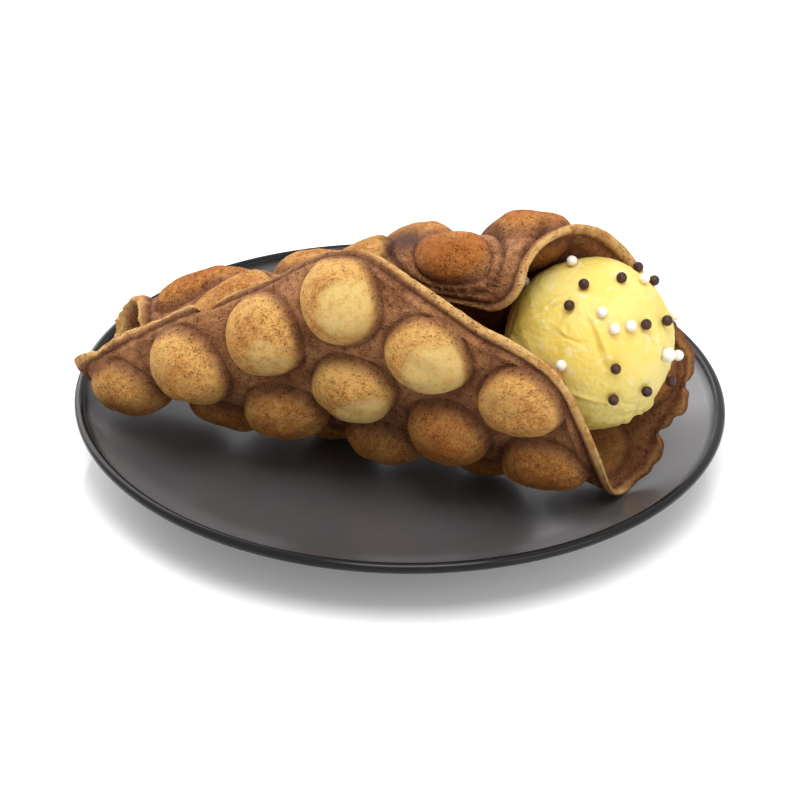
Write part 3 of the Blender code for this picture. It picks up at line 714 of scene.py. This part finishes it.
# crowns: golden, browned in blotches towards their middle, pale where the skin is thin, and darker on the
# lower bubbles, partly from real browning and partly as painted shade
browned_and_shaded = crust.math("MULTIPLY_ADD", tone_and_low_shade, 0.50, crust.math("MULTIPLY", clouds["Value"], 0.9))
browned_and_shaded = crust.math("MULTIPLY_ADD", crust.attribute("heart"), 0.35, browned_and_shaded)
browned_and_shaded = crust.math("ADD", browned_and_shaded, crust.math("MULTIPLY_ADD", mottle["Value"], 1.6, -1.20))
browned_and_shaded = crust.math("ADD", browned_and_shaded, crust.math("MULTIPLY_ADD", fine["Value"], 1.9, -0.95))
browned_and_shaded = crust.ramp(browned_and_shaded, -0.05, 1.0)
skin = crust.blend((0.88, 0.50, 0.150), (0.50, 0.170, 0.034), browned_and_shaded)
darker = crust.math("MULTIPLY", tone_and_low_shade, crust.math("MULTIPLY_ADD", fine["Value"], 2.4, -0.60))
skin = crust.blend(skin, (0.42, 0.112, 0.018), crust.ramp(darker, 0.0, 1.0))
skin = crust.blend(skin, (0.92, 0.51, 0.150), crust.math("MULTIPLY", fine["Mask"], 0.32))
ragged_cheek = crust.math("MULTIPLY_ADD", mottle["Value"], 1.6, crust.math("ADD", cheek_at, -0.80))
cheek_at = crust.math("MULTIPLY", cheek_at, crust.ramp(ragged_cheek, 0.05, 0.55))
pale = crust.blend((0.88, 0.61, 0.22), (0.84, 0.47, 0.13), mottle["Mask"])
skin = crust.blend(skin, pale, cheek_at)
# web: purplish brown, blotched dark, and golden on the bead of the edge
web = crust.blend((0.58, 0.265, 0.108), (0.31, 0.120, 0.050), clouds["Mask"])
web = crust.blend(web, (0.66, 0.34, 0.140), crust.math("MULTIPLY", fine["Mask"], 0.6))
web = crust.blend(web, (0.150, 0.052, 0.026), crust.math("MULTIPLY", mottle["Mask"], 0.50))
web = crust.blend(web, (0.130, 0.046, 0.026), crust.math("MULTIPLY", crust.dots(1000.0, 0.10, 0.26), 0.6))
web = crust.blend(web, (0.80, 0.46, 0.155), crust.math("MULTIPLY", crust.attribute("bead"), 0.65))
colour = crust.blend(web, skin, crust.attribute("crown"))
# painted shade in the groove round each bubble's foot
colour = crust.blend(colour, (0.14, 0.050, 0.028), crust.math("MULTIPLY", crust.attribute("foot"), 0.65))
# painted shade on the inner face of the roll
inner_shade_colour = crust.blend((0.110, 0.040, 0.018), (0.21, 0.085, 0.034), clouds["Value"])
colour = crust.blend(colour, inner_shade_colour, crust.math("MULTIPLY", crust.attribute("inside"), 0.75))
baked = crust.mottling(260.0, 4.0, 0.5, 0.42, 0.66)["Mask"]
cut = crust.blend((0.84, 0.52, 0.19), (0.62, 0.28, 0.080), baked)
cut = crust.blend(cut, (0.22, 0.080, 0.030), crust.attribute("mouth_edge_darkening"))
colour = crust.blend(colour, cut, crust.attribute("rim"))
# painted shade in the groove and the folds
colour = crust.blend(colour, (0.085, 0.028, 0.013), crust.math("MULTIPLY", crust.attribute("crease_shade"), 0.75))
# the dark patch on the web
colour = crust.blend(colour, (0.075, 0.030, 0.024), crust.math("MULTIPLY", crust.attribute("dark_patch"), 0.85))
# pores and pinholes, thickest where the batter browned most, their dark colour painted shade in the pits
pores = crust.math("MULTIPLY", crust.dots(750.0, 0.12, 0.32), crust.ramp(mottle["Value"], 0.42, 0.60))
pinholes = crust.math("MULTIPLY", crust.dots(1500.0, 0.16, 0.36), crust.ramp(mottle["Value"], 0.36, 0.58))
pits = crust.math("MAXIMUM", pores, pinholes)
pits = crust.math("MULTIPLY", pits, crust.math("MULTIPLY_ADD", cheek_at, -0.85, 1.0))
colour = crust.blend(colour, (0.115, 0.036, 0.013), crust.math("MULTIPLY", pits, 0.62))
depth = crust.math("MULTIPLY_ADD", pits, -1.0, crust.math("MULTIPLY", mottle["Value"], 1.4))
crust.bump(crust.math("MULTIPLY_ADD", fine["Value"], 0.9, depth), CRUST_GRAIN)
crust.apply(waffle, Base_Color=colour, Specular_IOR_Level=0.14,
            Roughness=crust.math("MULTIPLY_ADD", mottle["Value"], 0.25, 0.52))


# Ice cream
# One scoop of yellow ice cream, turned out of a round scoop and pressed into the mouth of the
# roll. The scoop has dragged ridges and short tears across it, and its lower edge is ragged.

SCOOP_RADIUS = 0.0278
SCOOP_MIDDLE = (0.0599, -0.0350, 0.0590)
SKIN_INSET = 0.0004
SWELL_HEIGHT = 0.0007
RIDGE_HEIGHT = 0.0003
RIDGE_INSET = 0.0002
SCRATCH_DEPTH = 0.0008
CRUMB_HEIGHTS = (0.00012, 0.00006)
# the ragged lower edge, by the upward share of its direction, and how far it stands out
SKIRT_LEVEL_SHARE = -0.62
SKIRT_WIDTH_SHARE = 0.22
SKIRT_HEIGHT = 0.0006
SKIRT_RAGGED_HEIGHT = 0.0014
PEARL_LIFT = 0.0008
DENT_DEPTH = 0.0005
DENT_RADIUS = 0.0024
DENT_REACH = 0.005
WALL_GAP = 0.0001
# tears across the scoop, from one place to another by turn and height in degrees, and their depth
TEARS = (((-96, 42), (-83, 12), 0.0010), ((-138, 44), (-124, 54), 0.0006), ((-2, 75), (-27, 53), 0.0007),
         ((-111, -10), (-83, -17), 0.0009), ((-46, 32), (-41, 15), 0.0005))
# across a tear, in shares of the scoop's radius: its width, and the place, width and share of its lip
TEAR_WIDTH_SHARE = 0.028
LIP_PLACE_SHARE = 0.065
LIP_WIDTH_SHARE = 0.035
LIP_HEIGHT_SHARE = 0.7
CREAM_GRAIN = 0.00045
CREAM_GLOW_DEPTH = 0.008


def ball_profile(radius, steps):
    """Half a circle from the top to the bottom of a ball."""
    turns = [math.pi * step / steps for step in range(1, steps)]
    arc = [(radius * math.sin(turn), radius * math.cos(turn)) for turn in turns]
    return [(0.0, radius)] + arc + [(0.0, -radius)]


middle = Vector(SCOOP_MIDDLE)
walls = BVHTree.FromPolygons([tuple(p) for p in places], triangles + wall)
level_count = 240
ways, faces = turned_profile(ball_profile(1.0, level_count), 2 * level_count)
ways = [Vector(way) for way in ways]
# the way the scoop was dragged through the ice cream
drag = Vector((0.75, -0.15, -0.65)).normalized()
side = drag.cross(Vector((0, 1, 0))).normalized()
front = drag.cross(side)
pearls = {}
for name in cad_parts:
    if name.startswith("pearl"):
        low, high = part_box(name)
        pearls[name] = (Vector(0.5 * (a + b) for a, b in zip(low, high)), (high[2] - low[2]) / 2)
# the pearls lie on the scoop, each in its own direction from the middle, clear of the waffle
for name, (spot, half) in pearls.items():
    way = (spot - middle).normalized()
    hit, _, _, distance = walls.ray_cast(middle, way, SCOOP_RADIUS + 2 * half)
    reach = SCOOP_RADIUS + PEARL_LIFT
    if hit:
        reach = min(reach, distance - half)
    pearls[name] = (middle + way * max(reach, (spot - middle).length), half)
spots = [spot for spot, _ in pearls.values()]


def on_ball(turn, height):
    """Direction from the scoop's middle by turn and height in degrees."""
    turn, height = math.radians(turn), math.radians(height)
    return Vector((math.cos(height) * math.cos(turn), math.cos(height) * math.sin(turn), math.sin(height)))


def tear_depth(way):
    """Depth of the tears at a place on the scoop, with a lifted lip along one side of each."""
    total = 0.0
    for first, last, depth in TEARS:
        first, last = on_ball(*first), on_ball(*last)
        run = last - first
        share = min(max((way - first).dot(run) / run.length_squared, 0.0), 1.0)
        line = (first + run * share).normalized()
        across = (way - line).length + 0.012 * noise.noise(way * 11)
        lip = (way - line).dot(line.cross(run)) > 0
        fade = math.sin(math.pi * min(max(share, 0.12), 0.88)) ** 0.5
        cut = math.exp(-(across / TEAR_WIDTH_SHARE) ** 2)
        lifted = LIP_HEIGHT_SHARE * lip * math.exp(-((across - LIP_PLACE_SHARE) / LIP_WIDTH_SHARE) ** 2)
        total += depth * fade * (cut - lifted)
    return total


scoop = []
for way in ways:
    flow = Vector((way.dot(drag) * 1.1, way.dot(side) * 3.2, way.dot(front) * 3.2))
    warp = flow + Vector((noise.noise(way * 2.6), noise.noise(way * 2.6 + drag * 9), 0)) * 0.8
    swell = noise.noise(way * 1.7 + side * 4) * SWELL_HEIGHT
    ridges = (1 - abs(noise.noise(warp * 0.8))) ** 4 * RIDGE_HEIGHT - RIDGE_INSET
    scratch = max(0.0, 1 - abs(noise.noise(warp * 0.6 + front * 5)) * 11) * SCRATCH_DEPTH
    scratch *= max(0.0, noise.noise(way * 2.3 + drag * 3) + 0.15)
    crumbs = noise.noise(way * 22) * CRUMB_HEIGHTS[0] + noise.noise(way * 48) * CRUMB_HEIGHTS[1]
    skirt = max(0.0, 1 - abs(way.z - SKIRT_LEVEL_SHARE) / SKIRT_WIDTH_SHARE)
    skirt *= SKIRT_HEIGHT + SKIRT_RAGGED_HEIGHT * noise.noise(way * 9)
    radius = SCOOP_RADIUS - SKIN_INSET + swell + ridges - scratch - tear_depth(way) + crumbs + skirt
    spot = middle + way * radius
    for pearl in spots:
        gap = (spot - pearl).length
        if gap < DENT_REACH:
            radius -= DENT_DEPTH * math.exp(-(gap / DENT_RADIUS) ** 2)
    hit, _, _, distance = walls.ray_cast(middle, way, SCOOP_RADIUS)
    if hit:
        radius = min(radius, distance - WALL_GAP)
    scoop.append(middle + way * radius)
ice_cream = new_piece("scoop", scoop, faces, ["ice_cream"])
cream = Finish("ice cream")
clouds = cream.mottling(60.0, 4.0, 0.6, 0.38, 0.66)
frost = cream.mottling(1300.0, 4.0, 0.6)["Value"]
streaks = cream.mottling(240.0, 4.0, 0.6, 0.52, 0.76)
tint = cream.blend((0.85, 0.69, 0.205), (0.81, 0.61, 0.120), clouds["Mask"])
tint = cream.blend(tint, (0.89, 0.81, 0.52), cream.math("MULTIPLY", streaks["Mask"], 0.7))
rough = cream.math("MULTIPLY_ADD", streaks["Value"], 0.8, cream.math("MULTIPLY", frost, 0.35))
cream.bump(rough, CREAM_GRAIN)
cream.apply(ice_cream, Base_Color=tint, Roughness=cream.math("MULTIPLY_ADD", frost, 0.3, 0.30),
            Subsurface_Weight=0.6, Subsurface_Radius=(1.0, 0.75, 0.3), Subsurface_Scale=CREAM_GLOW_DEPTH)


# Sugar pearls
# Small crisp balls with a dark chocolate or white sugar shell, sprinkled on by hand. Each is a
# little out of round and sits in a dent of the ice cream.

PEARL_RINGS = 14
PEARL_SIDES = 24
OUT_OF_ROUND_SHARE = 0.035
SHELL_GRAIN = 0.00008
shells = {}
for kind, light, dark in (("dark", (0.075, 0.028, 0.018), (0.018, 0.009, 0.008)),
                          ("white", (0.88, 0.86, 0.78), (0.80, 0.76, 0.66))):
    shell = Finish("pearl " + kind)
    mottle = shell.mottling(900.0, 3.0, 0.5, 0.35, 0.70)
    shell.bump(shell.mottling(2600.0, 2.0)["Value"], SHELL_GRAIN)
    shell.put(shell.surface.inputs["Base Color"], shell.blend(light, dark, mottle["Mask"]))
    shell.put(shell.surface.inputs["Roughness"], shell.math("MULTIPLY_ADD", mottle["Value"], 0.2, 0.25))
    shell.put(shell.surface.inputs["Specular IOR Level"], 0.25 if kind == "dark" else 0.5)
    shells[kind] = shell
for index, (name, (spot, half)) in enumerate(sorted(pearls.items())):
    verts, faces = turned_profile(ball_profile(half, PEARL_RINGS), PEARL_SIDES)
    shift = Vector((index, 0, 0))
    verts = [Vector(v) * (1 + OUT_OF_ROUND_SHARE * noise.noise(Vector(v) * 420 + shift)) + spot
             for v in verts]
    kind = name.split("_")[1]
    pearl = new_piece("sugar_" + name, verts, faces, [name])
    pearl.data.materials.append(shells[kind].material)


# Table and light
# A white gloss table that holds a faint reflection of the plate, under a soft lamp above the front,
# weaker ones at the back left and the front right, and a pale sky, brightest high at the back, that
# the camera and reflections see as plain white.

TABLE_HALF = 3.0
TABLE_GLOW = 0.18
BRIGHT_WAY = (-0.10, 0.45, 0.88)
LAMP_AIM = (0.0, 0.0, 0.03)
LAMPS = (("key", (0.06, -0.34, 0.92), 0.50, 6.3),
         ("back", (-0.52, 0.62, 0.55), 0.75, 4.6),
         ("fill", (0.60, -0.50, 0.35), 0.50, 1.3))

table_mesh = bpy.data.meshes.new("table")
corners = [(x * TABLE_HALF, y * TABLE_HALF, 0) for x, y in ((-1, -1), (1, -1), (1, 1), (-1, 1))]
table_mesh.from_pydata(corners, [], [(0, 1, 2, 3)])
table = bpy.data.objects.new("table", table_mesh)
scene.collection.objects.link(table)
white = Finish("table")
white.apply(table, Base_Color=(0.93, 0.93, 0.93, 1.0), Roughness=0.10, Specular_IOR_Level=0.5)
ray = white.add("ShaderNodeLightPath").outputs["Is Camera Ray"]
white.put(white.surface.inputs["Emission Color"], (1.0, 1.0, 1.0, 1.0))
white.put(white.surface.inputs["Emission Strength"], white.math("MULTIPLY", ray, TABLE_GLOW))

sky = bpy.data.worlds.new("sky")
sky.use_nodes = True
dome = Nodes(sky.node_tree)
backdrop = sky.node_tree.nodes["Background"].inputs
dome.put(backdrop["Color"], (1.0, 1.0, 1.0, 1.0))
toward = dome.add("ShaderNodeVectorMath", {"operation": "DOT_PRODUCT"})
dome.put(toward.inputs[0], dome.add("ShaderNodeTexCoord").outputs["Generated"])
dome.put(toward.inputs[1], BRIGHT_WAY)
glow = dome.ramp(toward.outputs["Value"], -0.2, 0.9, 0.18, 0.97)
seen = dome.add("ShaderNodeLightPath").outputs
plain = dome.math("MAXIMUM", seen["Is Camera Ray"], seen["Is Glossy Ray"])
dome.put(backdrop["Strength"], dome.math("MAXIMUM", plain, glow))
scene.world = sky
scene.view_settings.view_transform = "Standard"
for name, spot, size, power in LAMPS:
    lamp_data = bpy.data.lights.new(name, "AREA")
    lamp_data.size = size
    lamp_data.energy = power
    lamp = bpy.data.objects.new(name, lamp_data)
    lamp.location = spot
    lamp.rotation_euler = (Vector(LAMP_AIM) - Vector(spot)).to_track_quat("-Z", "Y").to_euler()
    scene.collection.objects.link(lamp)
